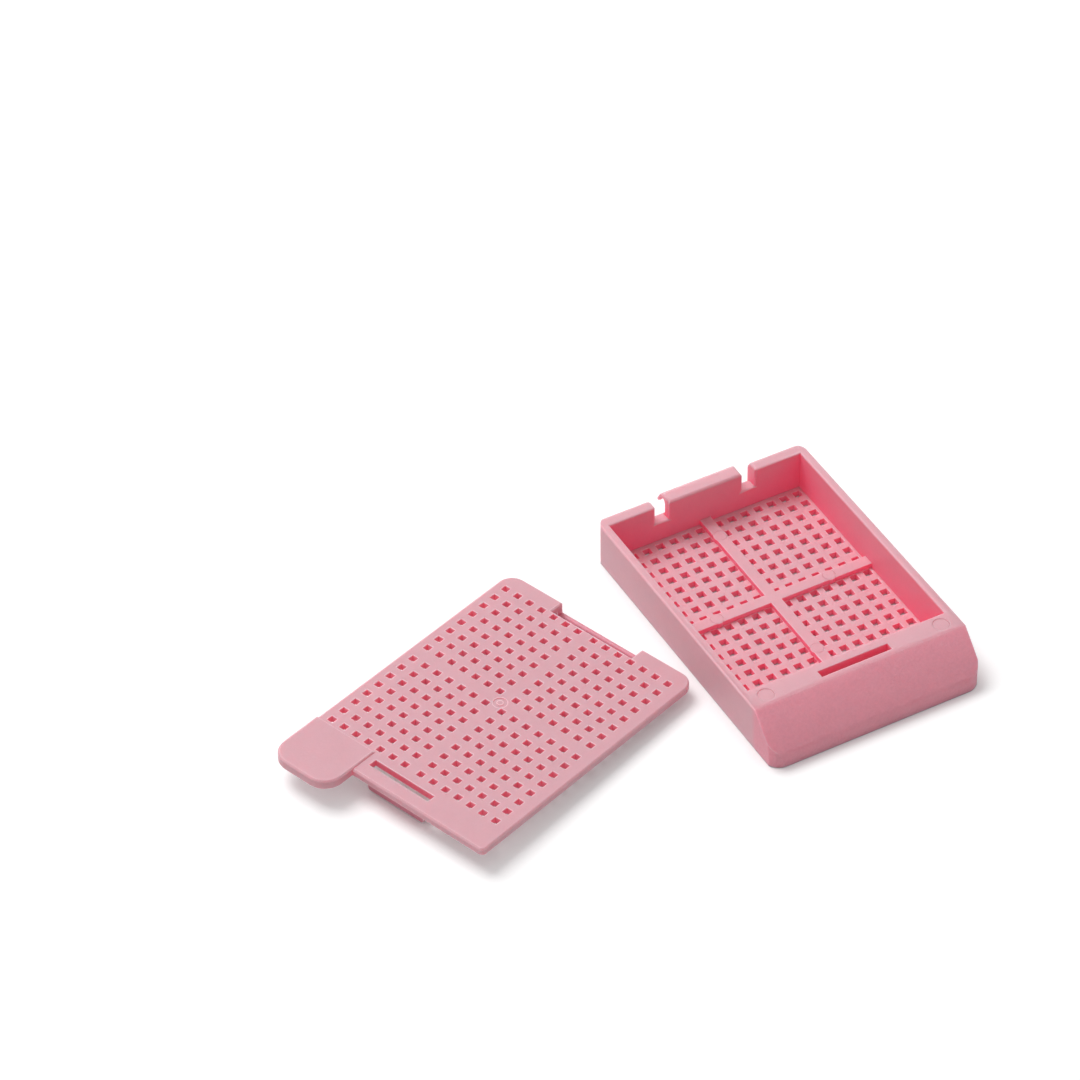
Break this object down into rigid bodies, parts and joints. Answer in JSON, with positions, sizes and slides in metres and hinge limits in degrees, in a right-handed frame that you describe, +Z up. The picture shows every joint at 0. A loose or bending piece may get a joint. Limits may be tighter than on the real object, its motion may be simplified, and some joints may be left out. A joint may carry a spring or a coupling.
{
  "type": "tissue cassette",
  "caption": "Open-topped plastic tray with a perforated floor, a sloped writing face and a hooked rear tab, with its perforated clip-on lid lying beside it.",
  "frame": {"origin": "middle of the base's underside, on the surface that it stands on", "axes": "+Z up, -Y towards the sloped writing face, +Y towards the hooked rear tab; the lid lies at -X"},
  "size_m": [0.0777, 0.0423, 0.0064],
  "materials": {
    "pink_moulding": "fine matt, slightly translucent"
  },
  "bodies": {
    "base": {"base": "pink_moulding"},
    "lid": {"lid": "pink_moulding"}
  },
  "joints": [
    {"name": "lid_lift", "type": "slide", "parent": "base", "child": "lid", "axis": [0, 0, 1], "range_m": [0, 0.03]}
  ]
}
